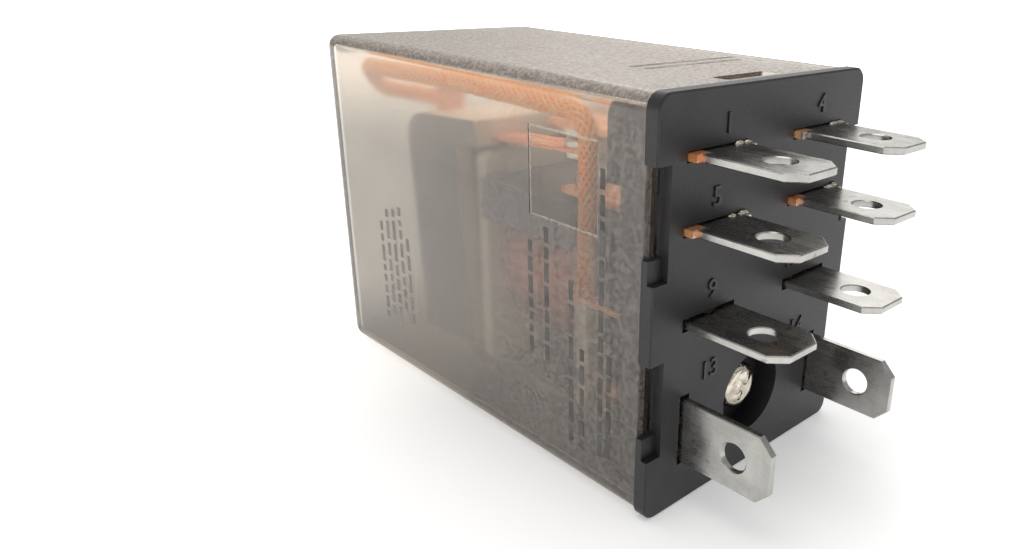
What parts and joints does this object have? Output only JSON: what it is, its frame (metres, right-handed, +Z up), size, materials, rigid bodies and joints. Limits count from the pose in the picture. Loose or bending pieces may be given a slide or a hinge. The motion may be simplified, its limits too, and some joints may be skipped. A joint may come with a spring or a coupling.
{
  "type": "plug-in relay",
  "caption": "Changeover relay in a frosted smoky cover, with a black base and flat tinned blades that plug into a socket.",
  "frame": {"origin": "centre of the terminal face of the base, the face that seats on a socket", "axes": "+Y out along the blades, closed end of the cover towards -Y; +Z up with the relay on a narrow side and the coil blades lowest; X between the two wide sides"},
  "size_m": [0.0216, 0.0463, 0.028],
  "materials": {
    "frosted_cover": "smoky clear polycarbonate, fine frosted texture outside, two polished panes",
    "black_moulding": "fine matte moulded thermoset, black",
    "tinned_copper": "tinned blade, bare copper at the root and inside the case",
    "silver_contact": "satin silver alloy",
    "zinc_steel": "zinc-plated mild steel",
    "soft_iron": "nickel-plated soft iron",
    "cream_moulding": "natural nylon, slightly translucent",
    "copper_winding": "enamelled copper wire",
    "dark_moulding": "dark grey moulded plastic",
    "spring_steel": "stainless spring strip",
    "tinned_rivet": "tinned steel rivet",
    "spring_copper": "rolled copper-alloy spring strip",
    "bare_braid": "bare braided copper wire"
  },
  "bodies": {
    "case": {"cover": "frosted_cover", "base": "black_moulding", "terminal_1_nc": "tinned_copper", "terminal_4_nc": "tinned_copper", "terminal_5_no": "tinned_copper", "terminal_8_no": "tinned_copper", "terminal_9_common": "tinned_copper", "terminal_12_common": "tinned_copper", "terminal_13_coil": "tinned_copper", "terminal_14_coil": "tinned_copper", "nc_contact_right": "silver_contact", "nc_contact_left": "silver_contact", "no_contact_right": "silver_contact", "no_contact_left": "silver_contact", "yoke": "zinc_steel", "core": "soft_iron", "pole_shoe": "soft_iron", "bobbin": "cream_moulding", "coil_winding": "copper_winding", "contact_barrier": "dark_moulding", "hinge_spring": "spring_steel", "hinge_spring_rivets": "spring_steel", "base_rivet": "tinned_rivet", "braid_right": "bare_braid", "braid_left": "bare_braid", "coil_lead_right": "copper_winding", "coil_lead_left": "copper_winding"},
    "armature_assembly": {"armature": "zinc_steel", "contact_carrier": "dark_moulding", "moving_arm_right": "spring_copper", "moving_arm_left": "spring_copper", "moving_contact_right": "silver_contact", "moving_contact_left": "silver_contact"}
  },
  "joints": [
    {"name": "armature_hinge", "type": "hinge", "parent": "case", "child": "armature_assembly", "pos_m": [0, -0.02265, -0.0119], "axis": [-1, 0, 0], "range_deg": [0, 3.6], "stiffness_Nm_per_rad": 0.03, "springref_deg": -6.88, "deforming": ["hinge_spring", "braid_right", "braid_left"]}
  ]
}
